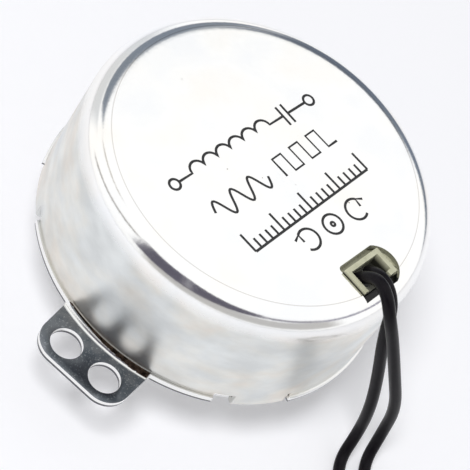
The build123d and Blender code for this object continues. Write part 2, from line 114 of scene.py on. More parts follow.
COIL_CENTRE = (10.3, 56.0)
COIL_START_DEG = -76.4
COIL_STEPS = 24
COIL_R = 10.2
COIL_PITCH = 1.75
COIL_TURNS = (1.7, 1.75)
COIL_HEIGHTS = (-8.8, -7.1)
STRIPPED, STRIP_OVERLAP = 5.0, 0.3
STRANDS, STRAND_STEPS = 7, 9
STRAND_R = 0.15
STRAND_TWIST_DEG = 220

# Tie round the coil: where it sits, the inside of its band, radially and upwards, and its head
TIE_ANGLE = 60
TIE_SPAN_R = (5.9, 11.25)
TIE_SPAN_Z = (-9.68, -6.2)
TIE_WIDTH = 2.4
TIE_THICK = 0.3
TIE_POINTS, TIE_SQUARENESS = 48, 1.35
TIE_HEAD, TIE_HEAD_RISE, TIE_HEAD_EDGE = (3.4, 3.6, 1.4), 0.6, 0.25

# Print on the rear face: the middle of each row at its start and its end
PRINT_ROWS = (
    ((14.6, -6.2), (-13.9, -2.2)),
    ((12.8, 0.2), (-11.4, 2.8)),
    ((12.9, 5.8), (-11.3, 8.4)),
    ((7.7, 10.6), (-6.3, 12.9)),
)
PRINT_THICK = 0.02

# Camera: its place, the point that it looks at, and its turn about the line of sight
CAMERA_AT = Vector((220.57, 29.57, 259.61)) * MM
CAMERA_AIM = Vector((3.83, 2.71, 10.0)) * MM
CAMERA_ROLL = 36.65
CAMERA_LENS = 191.49
CAMERA_SENSOR = 36.0

# Stage: the table and the softbox in metres, how brightly each kind of ray sees table and room, and
# the most that a patch of the room blurs above and below, in degrees
TABLE_SIZE = 6.0
LAMP_AT = (0.46, -0.1, 0.95)
LAMP_SIZE = 0.36
TABLE_SEEN, TABLE_MIRRORED = 0.22, 0.28
ROOM_MIRRORED, ROOM_LIGHTING = 1.08, 0.42
PATCH_EDGE_MOST = 8

# A colour mix node's two colours and its result, which share their names with other sockets
MIX_A, MIX_B, MIXED = 6, 7, 2


# ---- helpers ----


def linear(code):
    """An sRGB hex colour as linear values."""
    channels = [int(code[k : k + 2], 16) / 255 for k in (1, 3, 5)]
    return [c / 12.92 if c <= 0.04045 else ((c + 0.055) / 1.055) ** 2.4 for c in channels] + [1.0]


def polar(radius, angle):
    """A point at a radius and an angle in degrees."""
    return Vector((radius * cos(radians(angle)), radius * sin(radians(angle)), 0.0))


def angle_of(point):
    return degrees(atan2(point.y, point.x))


def add(tree, kind, inputs=(), stops=(), **settings):
    """Adds a shader node with its settings, its inputs set or linked, and the stops of a ramp. Text
    is a hex colour."""
    made = tree.nodes.new("ShaderNode" + kind)
    for name, value in settings.items():
        setattr(made, name, value)
    for key, value in dict(inputs).items():
        if isinstance(value, bpy.types.NodeSocket):
            tree.links.new(value, made.inputs[key])
        else:
            made.inputs[key].default_value = linear(value) if isinstance(value, str) else value
    for number, (place, colour) in enumerate(stops):
        elements = made.color_ramp.elements
        element = elements[number] if number < 2 else elements.new(place)
        element.position = place
        element.color = linear(colour)
    return made


def new_object(name, data):
    """An object in the scene for some data."""
    made = bpy.data.objects.new(name, data)
    bpy.context.scene.collection.objects.link(made)
    return made


def round_curve(name, radius, resolution):
    """An empty curve with a round section and closed ends."""
    curve = bpy.data.curves.new(name, "CURVE")
    curve.dimensions = "3D"
    curve.bevel_depth = radius
    curve.bevel_resolution = resolution
    curve.use_fill_caps = True
    return curve


def smooth_line(curve, points):
    """Adds a smooth line to a curve, drawn towards its points."""
    spline = curve.splines.new("NURBS")
    spline.points.add(len(points) - 1)
    for point, place in zip(spline.points, points):
        point.co = (*place, 1)
    spline.order_u = 3
    spline.use_endpoint_u = True
    return spline


def deselect():
    if bpy.context.object and bpy.context.object.mode == "EDIT":
        bpy.ops.object.mode_set(mode="OBJECT")
    bpy.ops.object.select_all(action="DESELECT")


def activate(piece):
    deselect()
    piece.select_set(True)
    bpy.context.view_layer.objects.active = piece


def edit(piece, kind="FACE"):
    """Opens a piece in edit mode with nothing selected."""
    activate(piece)
    bpy.ops.object.mode_set(mode="EDIT")
    bpy.ops.mesh.select_mode(type=kind)
    bpy.ops.mesh.select_all(action="DESELECT")


def pick(piece, test, kind="faces"):
    """Selects the faces, edges or verts of a piece in edit mode that pass a test."""
    mesh = bmesh.from_edit_mesh(piece.data)
    for element in getattr(mesh, kind):
        element.select_set(bool(test(element)))
    mesh.select_flush_mode()
    bmesh.update_edit_mesh(piece.data)


def modify(piece, kind, **settings):
    """Applies a modifier."""
    activate(piece)
    modifier = piece.modifiers.new(kind.title(), kind)
    for name, value in settings.items():
        setattr(modifier, name, value)
    bpy.ops.object.modifier_apply(modifier=modifier.name)


def settle(piece, name, smooth=30):
    """Names a finished piece, puts its place in its mesh and shades it."""
    activate(piece)
    piece.name = name
    piece.data.name = name
    bpy.ops.object.transform_apply(location=True, rotation=True, scale=True)
    bpy.ops.object.shade_smooth_by_angle(angle=radians(smooth))
    return piece


def copy_of_node(node):
    """A copy of a CAD node's mesh, with its doubles merged and its flat faces whole."""
    source = frame["nodes"][node]
    piece = new_object(node + "_shaped", source.data.copy())
    piece.data.materials.clear()
    edit(piece, "VERT")
    bpy.ops.mesh.select_all(action="SELECT")
    bpy.ops.mesh.remove_doubles(threshold=WELD)
    bpy.ops.mesh.dissolve_limited(angle_limit=radians(0.5))
    bpy.ops.object.mode_set(mode="OBJECT")
    return piece


def dress(piece, body, material):
    """Gives a piece its body and its material."""
    piece.data.materials.clear()
    piece.data.materials.append(material)
    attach(piece, body)


def outline_solid(name, points, low, high):
    """A prism on a closed outline."""
    bpy.ops.mesh.primitive_circle_add(vertices=len(points), radius=1, fill_type="NGON")
    piece = bpy.context.object
    for vertex, point in zip(piece.data.vertices, points):
        vertex.co = Vector((point[0], point[1], low))
    edit(piece)
    pick(piece, lambda face: True)
    bpy.ops.mesh.extrude_region_move(TRANSFORM_OT_translate={"value": (0, 0, high - low)})
    bpy.ops.mesh.select_all(action="SELECT")
    bpy.ops.mesh.normals_make_consistent(inside=False)
    return settle(piece, name)


# ---- materials ----


def material_with(name):
    """A new material, its tree and its Object coordinates in millimetres."""
    material = bpy.data.materials.new(name)
    material.use_nodes = True
    tree = material.node_tree
    place = add(tree, "TexCoord").outputs["Object"]
    millimetres = add(tree, "VectorMath", {0: place, "Scale": 1 / MM}, operation="SCALE")
    return material, tree, millimetres.outputs["Vector"]


def axes(tree, place):
    """The x, y and z of a place, and its distance from the Z axis."""
    split = add(tree, "SeparateXYZ", {0: place})
    flat = add(tree, "CombineXYZ", {0: split.outputs[0], 1: split.outputs[1]})
    radius = add(tree, "VectorMath", {0: flat.outputs[0]}, operation="LENGTH").outputs["Value"]
    return (*split.outputs, radius)


def within(tree, *limits):
    """A mask that fades in along every limit: a value, where it gives 0 and where it gives 1."""
    share = None
    for value, nothing, full in limits:
        step = add(tree, "MapRange", {"Value": value, "From Min": nothing, "From Max": full})
        if share:
            step = add(tree, "Math", {0: share, 1: step.outputs[0]}, operation="MULTIPLY")
        share = step.outputs[0]
    return share


def toothed(tree, place, scale, detail, rough, bump, depth):
    """A fine tooth: nodes for its roughness, between two values, and for its relief."""
    fine = add(tree, "TexNoise", {"Vector": place, "Scale": scale, "Detail": detail}).outputs["Fac"]
    roughness = add(tree, "MapRange", {"Value": fine, "To Min": rough[0], "To Max": rough[1]})
    return roughness, add(tree, "Bump", {"Strength": bump, "Distance": depth * MM, "Height": fine})


def finish_with(tree, colour, rough, relief, metallic=0.0):
    """Links a colour, a roughness and a relief to the tree's shader."""
    shader = tree.nodes["Principled BSDF"]
    tree.links.new(colour, shader.inputs["Base Color"])
    tree.links.new(rough.outputs[0], shader.inputs["Roughness"])
    tree.links.new(relief.outputs["Normal"], shader.inputs["Normal"])
    shader.inputs["Metallic"].default_value = metallic


def simple_finish(name, low, high, roughness, metallic=0.0, grain=1.0, bump=0.1, spread=0.1):
    """A surface of two close colours in soft patches of a grain in millimetres, with a fine tooth."""
    material, tree, place = material_with(name)
    patches = add(tree, "TexNoise", {"Vector": place, "Scale": 1 / grain, "Detail": 4})
    ramp = add(tree, "ValToRGB", {"Fac": patches.outputs["Fac"]}, ((0.35, low), (0.65, high)))
    span = (roughness - spread, roughness + spread)
    rough, relief = toothed(tree, place, 8 / grain, 3, span, bump, 0.05)
    finish_with(tree, ramp.outputs["Color"], rough, relief, metallic)
    return material


def drawn_zinc(name):
    """Bright zinc on the drawn can: a mirror on the flat face and the rim, with sparse specks and a
    faint dark line of painted shade round the face, where the rim starts to curve, and a duller, cloudy
    wall, where the steel was stretched, made darker than the face as painted shade."""
    wall_from, wall_full = 19.6, 16.6
    shade_line_r, shade_line_low = 21.9, 20.5
    material, tree, place = material_with(name)
    *_, z, radius = axes(tree, place)
    on_wall = add(tree, "MapRange", {"Value": z, "From Min": wall_from, "From Max": wall_full})
    soft = add(tree, "TexNoise", {"Vector": place, "Scale": 0.1, "Detail": 3})
    stops = ((0.35, "#F6F7F8"), (0.5, "#FAFAF9"), (0.7, "#FAF8F4"))
    face = add(tree, "ValToRGB", {"Fac": soft.outputs["Fac"]}, stops)
    rolled = add(tree, "Mapping", {"Vector": place, "Scale": (0.11, 0.11, 0.15)})
    tints = add(
        tree,
        "TexNoise",
        {"Vector": rolled.outputs[0], "Scale": 1.0, "Detail": 5, "Distortion": 0.3},
    )
    # The wall's colour, darker than the face's: its cloudy patches are the stretched steel's own, and the
    # overall darkening is painted shade
    stops = ((0.38, "#E5E8E7"), (0.5, "#E8E8E3"), (0.62, "#EAE5DC"))
    wall = add(tree, "ValToRGB", {"Fac": tints.outputs["Fac"]}, stops)
    stretched = {"Vector": place, "Location": (9, 4, 2), "Scale": (0.17, 0.17, 0.3)}
    stretched = add(tree, "Mapping", stretched)
    clouds = add(tree, "TexNoise", {"Vector": stretched.outputs[0], "Scale": 1.0, "Detail": 7})
    shade = {"From Min": 0.35, "From Max": 0.65, "To Min": 0.79, "To Max": 0.94}
    shade = add(tree, "MapRange", {"Value": clouds.outputs["Fac"], **shade})
    wall = add(
        tree,
        "Mix",
        {"Factor": 1.0, MIX_A: wall.outputs["Color"], MIX_B: shade.outputs[0]},
        data_type="RGBA",
        blend_type="MULTIPLY",
    )
    colour = add(
        tree,
        "Mix",
        {"Factor": on_wall.outputs[0], MIX_A: face.outputs["Color"], MIX_B: wall.outputs[MIXED]},
        data_type="RGBA",
    )
    cells = add(tree, "TexVoronoi", {"Vector": place, "Scale": 0.3})
    chosen = add(tree, "SeparateColor", {0: cells.outputs["Color"]})
    chosen = add(tree, "Math", {0: chosen.outputs[0], 1: 0.75}, operation="GREATER_THAN")
    specks = {"Value": cells.outputs["Distance"], "From Min": 0.04, "From Max": 0.02}
    specks = add(tree, "MapRange", specks)
    specks = add(tree, "Math", {0: specks.outputs[0], 1: chosen.outputs[0]}, operation="MULTIPLY")
    # A faint dark line painted round the face: painted shade where the rim starts to curve
    away = add(tree, "Math", {0: radius, 1: shade_line_r}, operation="SUBTRACT")
    away = add(tree, "Math", {0: away.outputs[0]}, operation="ABSOLUTE")
    line = {"Value": away.outputs[0], "From Min": 0.1, "From Max": 0.04, "To Max": 0.32}
    line = add(tree, "MapRange", line)
    high = add(tree, "Math", {0: z, 1: shade_line_low}, operation="GREATER_THAN")
    line = add(tree, "Math", {0: line.outputs[0], 1: high.outputs[0]}, operation="MULTIPLY")
    marks = add(tree, "Math", {0: specks.outputs[0], 1: line.outputs[0]}, operation="MAXIMUM")
    colour = add(
        tree,
        "Mix",
        {"Factor": marks.outputs[0], MIX_A: colour.outputs[MIXED], MIX_B: "#7F7465"},
        data_type="RGBA",
    )
    rough, relief = toothed(tree, place, 2.5, 3, (0.09, 0.17), 0.12, 0.04)
    duller = {0: on_wall.outputs[0], 1: 0.2, 2: rough.outputs[0]}
    rough = add(tree, "Math", duller, operation="MULTIPLY_ADD")
    finish_with(tree, colour.outputs[MIXED], rough, relief, 1.0)
    return material


def stamped_zinc(name):
    """Zinc on the stamped plate: bright rounded edges, dark speckled tops of the ears, a dull dark foot
    round the disc and the ears, partly where they were sheared and partly painted shade along the
    underside, painted shade under the can's wall, and a torn brown strip above each ear's root."""
    ear_half, can_r, disc_r = 7.3, 25.0, 25.7
    material, tree, place = material_with(name)
    _, y, z, radius = axes(tree, place)
    off_top = add(tree, "Math", {0: z, 1: EAR_TOP / MM}, operation="SUBTRACT")
    off_top = add(tree, "Math", {0: off_top.outputs[0]}, operation="ABSOLUTE")
    on_top = {"Value": off_top.outputs[0], "From Min": 0.05, "From Max": 0.01}
    on_top = add(tree, "MapRange", on_top)
    soft = add(tree, "TexNoise", {"Vector": place, "Scale": 0.5, "Detail": 3})
    # The tops of the ears are lighter towards -Y and darker towards +Y
    lighter_towards_minus_y = add(tree, "Math", {0: y, 1: -0.02, 2: soft.outputs["Fac"]}, operation="MULTIPLY_ADD")
    stops = ((0.35, "#636971"), (0.65, "#80848A"))
    dull = add(tree, "ValToRGB", {"Fac": lighter_towards_minus_y.outputs[0]}, stops)
    grains = add(tree, "TexNoise", {"Vector": place, "Scale": 4.5, "Detail": 2})
    flecks = {"Value": grains.outputs["Fac"], "From Min": 0.58, "From Max": 0.76}
    flecks = add(tree, "MapRange", flecks)
    dull = add(
        tree,
        "Mix",
        {"Factor": flecks.outputs[0], MIX_A: dull.outputs["Color"], MIX_B: "#B0B4B9"},
        data_type="RGBA",
    )
    colour = add(
        tree,
        "Mix",
        {"Factor": on_top.outputs[0], MIX_A: "#EDEDEB", MIX_B: dull.outputs[MIXED]},
        data_type="RGBA",
    )
    side = add(tree, "Math", {0: y}, operation="ABSOLUTE").outputs[0]
    # The dark foot of every sheared edge: partly the dull fracture zone of the cut, partly painted shade
    # along the underside
    ear_foot = within(tree, (z, 0.42, 0.34), (radius, 25.4, 25.6))
    disc_foot = within(tree, (z, 1.1, 1.02), (radius, 24.7, 24.8), (side, ear_half, 7.5))
    sheared = add(tree, "Math", {0: ear_foot, 1: disc_foot}, operation="MAXIMUM").outputs[0]
    # Painted shade on the plate under the can's wall, seen through the slots
    painted_shade_under_wall = within(tree, (radius, 24.95, 24.85), (z, 1.5, 1.7))
    torn = add(tree, "TexNoise", {"Vector": place, "Scale": 1.6, "Detail": 4}).outputs["Fac"]
    edge = add(tree, "Math", {0: y, 1: -0.055, 2: 1.66}, operation="MULTIPLY_ADD")
    edge = add(tree, "Math", {0: torn, 1: -0.5, 2: edge.outputs[0]}, operation="MULTIPLY_ADD")
    above = add(tree, "Math", {0: z, 1: edge.outputs[0]}, operation="SUBTRACT").outputs[0]
    root = ((side, ear_half, 7.1), (radius, can_r, 25.1), (radius, disc_r, 25.6))
    brown = within(tree, (above, -0.03, 0.03), *root)
    rust = add(tree, "ValToRGB", {"Fac": torn}, ((0.4, "#1E1814"), (0.6, "#5A4A40")))
    for share, shade in (
        (sheared, "#55555A"),
        (painted_shade_under_wall, "#0E0E0F"),
        (brown, rust.outputs["Color"]),
    ):
        colour = add(
            tree,
            "Mix",
            {"Factor": share, MIX_A: colour.outputs[MIXED], MIX_B: shade},
            data_type="RGBA",
        )
    rough, relief = toothed(tree, place, 5.0, 2, (0.12, 0.24), 0.15, 0.04)
    rough = add(tree, "Math", {0: brown, 1: 0.35, 2: rough.outputs[0]}, operation="MULTIPLY_ADD")
    finish_with(tree, colour.outputs[MIXED], rough, relief, 1.0)
    return material


def bobbin_nylon(name):
    """Moulded nylon: olive cream and faintly waxy, with painted shade, darker with depth, inside the box
    that the leads leave by, on its outer wall and beside it, and half as dark on the ledge inward of it."""
    wall_in, wall_out, ledge_end = 3.0, 21.55, 18.3
    material, tree, place = material_with(name)
    patches = add(tree, "TexNoise", {"Vector": place, "Scale": 0.6, "Detail": 4})
    stops = ((0.35, "#BCBBA0"), (0.65, "#CFCEB4"))
    ramp = add(tree, "ValToRGB", {"Fac": patches.outputs["Fac"]}, stops)
    box = add(tree, "Mapping", {"Vector": place, "Rotation": (0, 0, radians(-EXIT_ANGLE))})
    radial, tangential, z = add(tree, "SeparateXYZ", {0: box.outputs[0]}).outputs
    side = add(tree, "Math", {0: tangential}, operation="ABSOLUTE")
    inside = {"Value": side.outputs[0], "From Min": wall_in, "From Max": 2.8}
    inside = add(tree, "MapRange", inside)
    outer = add(tree, "MapRange", {"Value": radial, "From Min": wall_out, "From Max": 21.65})
    inside = add(tree, "Math", {0: inside.outputs[0], 1: outer.outputs[0]}, operation="MAXIMUM")
    beyond = add(tree, "MapRange", {"Value": radial, "From Min": ledge_end, "From Max": 18.45})
    # Painted shade: darker with depth inside the box and beyond its outer wall
    deep = add(tree, "MapRange", {"Value": z, "From Min": 21.52, "From Max": 20.3})
    for part in (beyond, deep):
        inside = {0: inside.outputs[0], 1: part.outputs[0]}
        inside = add(tree, "Math", inside, operation="MULTIPLY")
    # Painted shade beside the box's outer side, and half as dark on the ledge inward of it
    beside = add(tree, "MapRange", {"Value": tangential, "From Min": -3.2, "From Max": -3.35})
    under = add(tree, "MapRange", {"Value": z, "From Min": 21.3, "From Max": 21.0})
    ledge = {"Value": radial, "From Min": ledge_end, "From Max": 18.2, "To Max": 0.5}
    ledge = add(tree, "MapRange", ledge)
    for other, kind in ((ledge, "MAXIMUM"), (under, "MULTIPLY")):
        beside = add(tree, "Math", {0: beside.outputs[0], 1: other.outputs[0]}, operation=kind)
    painted_shade_share = add(tree, "Math", {0: inside.outputs[0], 1: beside.outputs[0]}, operation="MAXIMUM")
    # The painted shade is darkest beyond the outer wall, in the gap by the hole's edge
    painted_shade_colour = add(
        tree,
        "Mix",
        {"Factor": outer.outputs[0], MIX_A: "#26261F", MIX_B: "#0B0B09"},
        data_type="RGBA",
    )
    colour = add(
        tree,
        "Mix",
        {"Factor": painted_shade_share.outputs[0], MIX_A: ramp.outputs["Color"], MIX_B: painted_shade_colour.outputs[MIXED]},
        data_type="RGBA",
    )
    rough, relief = toothed(tree, place, 4.0, 3, (0.34, 0.52), 0.1, 0.05)
    finish_with(tree, colour.outputs[MIXED], rough, relief)
    return material


class MOTOR_OT_finishes(bpy.types.Operator):
    """Mixes every finish of the motor"""

    bl_idname = "motor.finishes"
    bl_label = "Finishes"

    def execute(self, context):
        m = MATERIALS
        # Deep-drawn and zinc plated: a white mirror on top, cloudy on the wall, which is darkened as
        # painted shade
        m["zinc_plated_steel"] = drawn_zinc("bright_zinc_drawn")
        # Stamped and zinc plated: bright edges round a dark speckled flat
        m["zinc_plated_steel_ears"] = stamped_zinc("bright_zinc_stamped")
        # Turned steel: a clean grey shine
        m["plain_steel"] = simple_finish("turned_steel", "#A9ABAD", "#B9BABB", 0.28, 1.0, 1.0)
        # Blackened steel: nearly black with a dull shine
        m["spring_steel"] = simple_finish("blackened_spring_steel", "#2E2E30", "#3A393A", 0.38, 1.0, 1.0)
        # Sintered bronze: brown, dull and porous
        m["bronze"] = simple_finish("sintered_bronze", "#9A7444", "#B08A57", 0.45, 1.0, 0.3, 0.3)
        # Hobbed brass: yellow and bright
        m["gear_brass"] = simple_finish("hobbed_brass", "#C7A75C", "#D6B870", 0.25, 1.0, 1.0)
        # Moulded acetal: milky and smooth
        m["acetal"] = simple_finish("moulded_acetal", "#E2E0D6", "#EAE8DF", 0.35)
        # Punched nylon: creamier and duller
        m["nylon"] = simple_finish("punched_nylon", "#DFDBCB", "#E6E2D4", 0.45)
        # Ground ferrite: charcoal with a fine dull tooth
        m["ferrite"] = simple_finish("ground_ferrite", "#262628", "#303033", 0.5, 0.0, 0.3, 0.2)
        # Moulded nylon: olive cream, faintly waxy, with painted shade inside the lead box and beside it
        m["bobbin_nylon"] = bobbin_nylon("moulded_bobbin_nylon")
        # Enamelled copper: deep orange brown under a clear gloss
        m["enamelled_wire"] = simple_finish("enamelled_copper", "#8A4A22", "#A35C2C", 0.25, 0.6, 0.4)
        # Polyester tape: strong yellow
        m["yellow_tape"] = simple_finish("polyester_tape", "#D3A92E", "#DDB53C", 0.3)
        # Satin PVC: near black with a trace of purple, and a thin highlight
        m["lead_pvc"] = simple_finish("satin_pvc", "#0C0A0E", "#131015", 0.33, 0.0, 1.0, 0.05, 0.05)
        shader = m["lead_pvc"].node_tree.nodes["Principled BSDF"]
        shader.inputs["Specular IOR Level"].default_value = 0.12
        # Tinned copper: pale and bright
        m["tinned_wire"] = simple_finish("tinned_copper", "#B4B5B3", "#C4C4C1", 0.3, 1.0, 0.3)
        # Pad printing ink: soft black
        m["ink"] = simple_finish("pad_printing_ink", "#1B1B1C", "#29292A", 0.5, 0.0, 0.5, 0.15)
        return {"FINISHED"}


MATERIALS = {}


# ---- pieces ----


class MOTOR_OT_can(bpy.types.Operator):
    """Draws the can: wall, rolled rim, rear face, crimp tabs and the hole for the leads"""

    bl_idname = "motor.can"
    bl_label = "Can"

    def execute(self, context):
        settings = context.scene.motor_can
        wall = settings.wall
        rim = settings.rim_radius
        deselect()
        bpy.ops.mesh.primitive_circle_add(
            vertices=CAN_SEGMENTS, radius=CAN_R, fill_type="NOTHING", location=(0, 0, PLATE_TOP)
        )
        piece = bpy.context.object
        bpy.ops.object.transform_apply(location=True)
        steps = [(CAN_R, PLATE_TOP + SLOT_HEIGHT)]
        for k in range(1, WALL_RINGS + 1):
            steps.append((CAN_R, PLATE_TOP + SLOT_HEIGHT + k * WALL_RING_STEP * MM))
        centre_r, centre_z = CAN_R - rim, CAN_TOP - rim
        for k in range(RIM_STEPS + 1):
            turned = polar(rim, 90 * k / RIM_STEPS)
            steps.append((centre_r + turned.x, centre_z + turned.y))
        steps += [(ring * MM, CAN_TOP) for ring in FACE_RINGS]
        activate(piece)
        bpy.ops.object.mode_set(mode="EDIT")
        bpy.ops.mesh.select_mode(type="EDGE")
        bpy.ops.mesh.select_all(action="SELECT")
        self.extrude_rings(steps)
        bpy.ops.mesh.edge_face_add()
        self.cut_slots(piece)
        self.bend_tabs(piece)
        bpy.ops.mesh.select_all(action="SELECT")
        bpy.ops.mesh.remove_doubles(threshold=WELD)
        bpy.ops.mesh.normals_make_consistent(inside=False)
        bpy.ops.object.mode_set(mode="OBJECT")
        modify(piece, "SOLIDIFY", thickness=wall, offset=-1.0, use_even_offset=True)
        edges = {"limit_method": "ANGLE", "angle_limit": radians(50)}
        modify(piece, "BEVEL", width=CAN_EDGE * MM, segments=2, **edges)
        hole = outline_solid("hole_cutter", exit_outline(), CAN_TOP - 2 * wall, CAN_TOP + wall)
        modify(piece, "BOOLEAN", operation="DIFFERENCE", object=hole, solver="EXACT")
        bpy.data.objects.remove(hole)
        settle(piece, "can_drawn")
        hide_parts("can")
        dress(piece, "casing", MATERIALS["zinc_plated_steel"])
        return {"FINISHED"}

    def extrude_rings(self, steps):
        """Extrudes the wall's selected lower edge through rings, each a radius and a height."""
        radius, height = CAN_R, PLATE_TOP
        for next_radius, next_height in steps:
            bpy.ops.mesh.extrude_region_move(
                TRANSFORM_OT_translate={"value": (0, 0, next_height - height)}
            )
            scale = next_radius / radius
            bpy.ops.transform.resize(value=(scale, scale, 1), center_override=(0, 0, next_height))
            radius, height = next_radius, next_height

    def cut_slots(self, piece):
        """Deletes the wall beside each tab, up to the top of its slot."""
        gaps = [(s, a) for s, a, _, _ in TABS_DEG] + [(b, e) for _, _, b, e in TABS_DEG]

        def in_slot(face):
            centre = face.calc_center_median()
            if centre.z > PLATE_TOP + SLOT_HEIGHT:
                return False
            angle = angle_of(centre)
            return any(low < angle + turn < high for low, high in gaps for turn in (0, 360))

        bpy.ops.mesh.select_mode(type="FACE")
        pick(piece, in_slot)
        bpy.ops.mesh.delete(type="FACE")

    def bend_tabs(self, piece):
        """Extrudes the wall's lower edge down past the plate and bends it in under it."""
        bpy.ops.mesh.select_mode(type="EDGE")

        def at_tab(edge):
            middle = (edge.verts[0].co + edge.verts[1].co) / 2
            if max(v.co.z for v in edge.verts) > PLATE_TOP + 0.1 * MM:
                return False
            angle = angle_of(middle)
            return any(a < angle + turn < b for _, a, b, _ in TABS_DEG for turn in (0, 360))

        pick(piece, at_tab, "edges")
        inner = CAN_R - TAB_BEND_R
        steps = [(CAN_R, TAB_BEND_R)]
        for k in range(1, TAB_BEND_STEPS + 1):
            turned = polar(TAB_BEND_R, -90 * k / TAB_BEND_STEPS)
            steps.append((inner + turned.x, TAB_BEND_R + turned.y))
        steps.append((TAB_INNER_R, 0))
        self.extrude_rings(steps)


def exit_point(radial, tangential):
    """A point of the rear face in the lead exit's own radial and tangential millimetres."""
    return polar(radial * MM, EXIT_ANGLE) + polar(tangential * MM, EXIT_ANGLE + 90)


def arc_through(start, middle, end, steps):
    """Points of the circle through three points, from start to end."""
    ax, ay, bx, by, cx, cy = *start.xy, *middle.xy, *end.xy
    d = 2 * (ax * (by - cy) + bx * (cy - ay) + cx * (ay - by))
    ux = ((ax**2 + ay**2) * (by - cy) + (bx**2 + by**2) * (cy - ay) + (cx**2 + cy**2) * (ay - by)) / d
    uy = ((ax**2 + ay**2) * (cx - bx) + (bx**2 + by**2) * (ax - cx) + (cx**2 + cy**2) * (bx - ax)) / d
    centre = Vector((ux, uy, 0))
    radius = (start - centre).length
    first = angle_of(start - centre)
    turn = (angle_of(end - centre) - first + 180) % 360 - 180
    return [centre + polar(radius, first + turn * k / steps) for k in range(steps + 1)]


def exit_outline():
    """The outline of the opening for the leads: straight sides, one round corner and a bulge."""
    inner, middle, outer = HOLE_BULGE
    bulge = arc_through(
        exit_point(HOLE_IN, inner), exit_point(HOLE_MIDDLE, middle), exit_point(HOLE_OUT, outer), 16
    )
    inset = HOLE_CORNER_R * (1 - sin(radians(45)))
    corner = arc_through(
        exit_point(HOLE_IN + HOLE_CORNER_R, -HOLE_SIDE),
        exit_point(HOLE_IN + inset, inset - HOLE_SIDE),
        exit_point(HOLE_IN, HOLE_CORNER_R - HOLE_SIDE),
        8,
    )
    return [*corner, *bulge, exit_point(HOLE_OUT, -HOLE_SIDE)]


class MOTOR_OT_turned_and_stamped(bpy.types.Operator):
    """Rounds the sharp edges of the metal and moulded pieces that show outside the can"""

    bl_idname = "motor.turned_and_stamped"
    bl_label = "Plate, Shaft, Bearing and Bobbin"

    def execute(self, context):
        # Each node, its body, its slot and the size of its rounded edges in millimetres
        pieces = (
            ("mounting_plate", "casing", "zinc_plated_steel_ears", 0.45),
            ("output_bushing", "casing", "bronze", 0.12),
            ("spacer_posts", "casing", "plain_steel", 0.12),
            ("bobbin", "casing", "bobbin_nylon", 0.1),
            ("output_shaft", "output", "plain_steel", 0.08),
            ("shaft_circlip", "output", "spring_steel", 0.08),
        )
        for node, body, slot, edge in pieces:
            piece = copy_of_node(node)
            if node == "mounting_plate":
                self.coin_ear_roots(piece)
            modify(
                piece,
                "BEVEL",
                width=edge * MM,
                segments=3,
                limit_method="ANGLE",
                angle_limit=radians(35),
                use_clamp_overlap=True,
            )
            settle(piece, node + "_finished")
            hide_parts(node)
            dress(piece, body, MATERIALS[slot])
        return {"FINISHED"}

    def coin_ear_roots(self, piece):
        """Rounds the corner where each ear's top meets the sheared edge of the disc."""
        edit(piece, "EDGE")

        def at_root(edge):
            ends = [vertex.co for vertex in edge.verts]
            level = all(abs(end.z - EAR_TOP) < ROOT_SLACK_Z * MM for end in ends)
            off_edge = [abs(hypot(end.x, end.y) - PLATE_R) for end in ends]
            return level and max(off_edge) < ROOT_SLACK_R * MM

        pick(piece, at_root, "edges")
        bpy.ops.mesh.bevel(offset=EAR_ROOT_ROUND * MM, segments=4)
        bpy.ops.object.mode_set(mode="OBJECT")


class MOTOR_OT_print(bpy.types.Operator):
    """Prints four rows of wiring symbols on the rear face"""

    bl_idname = "motor.print"
    bl_label = "Print"

    def execute(self, context):
        width = context.scene.motor_print.line_width
        curve = round_curve("print", width / 2, 2)
        symbols = (coil_and_capacitor(), waves(), scale_marks(), turning_arrows())
        for (start, end), strokes in zip(PRINT_ROWS, symbols):
            start, end = Vector(start), Vector(end)
            along = (end - start).normalized()
            up = Vector((-along.y, along.x))
            for stroke in strokes:
                spline = curve.splines.new("POLY")
                spline.points.add(len(stroke) - 1)
                for point, (x, y) in zip(spline.points, stroke):
                    point.co = (*((start + along * x + up * y) * MM), CAN_TOP, 1)
        activate(new_object("print", curve))
        bpy.ops.object.convert(target="MESH")
        piece = context.object
        edit(piece)
        bpy.ops.mesh.select_all(action="SELECT")
        flat = 2 * PRINT_THICK * MM / width
        bpy.ops.transform.resize(value=(1, 1, flat), center_override=(0, 0, CAN_TOP))
        settle(piece, "face_print", 60)
        dress(piece, "casing", MATERIALS["ink"])
        return {"FINISHED"}


def arc(x, y, radius, first, last, steps=24):
    """Points of an arc about (x, y) between two angles in degrees."""
    turns = [first + (last - first) * k / steps for k in range(steps + 1)]
    return [(x + radius * cos(radians(t)), y + radius * sin(radians(t))) for t in turns]


def coil_and_capacitor():
    """A winding and a capacitor in series between two terminals."""
    loops = [point for k in range(6) for point in arc(5.5 + 2.6 * k, 0, 1.3, 180, 0, 12)]
    return [
        arc(0.8, 0, 0.8, 0, 360),
        [(1.6, 0), (4.2, 0), *loops, (22.6, 0)],
        [(22.6, -1.6), (22.6, 1.6)],
        [(23.6, -1.6), (23.6, 1.6)],
        [(23.6, 0), (27.2, 0)],
        arc(28.0, 0, 0.8, 180, 540),
    ]


def waves():
    """Three periods of a sine wave and three of a square wave."""
    period, height = 3.6, 1.5
    sine = [(period * k / 16, height * sin(2 * pi * k / 16)) for k in range(49)]
    square = [(13.3, -height)]
    for k in range(3):
        x = 13.3 + period * k
        square += [(x, height), (x + period / 2, height), (x + period / 2, -height), (x + period, -height)]
    return [sine, square]


def scale_marks():
    """A graduated scale of twenty divisions."""
    base, division = -1.5, 1.2
    marks = [[(0, base), (20 * division, base)]]
    for k in range(21):
        marks.append([(division * k, base), (division * k, base + (3.0 if k % 5 == 0 else 1.6))])
    return marks


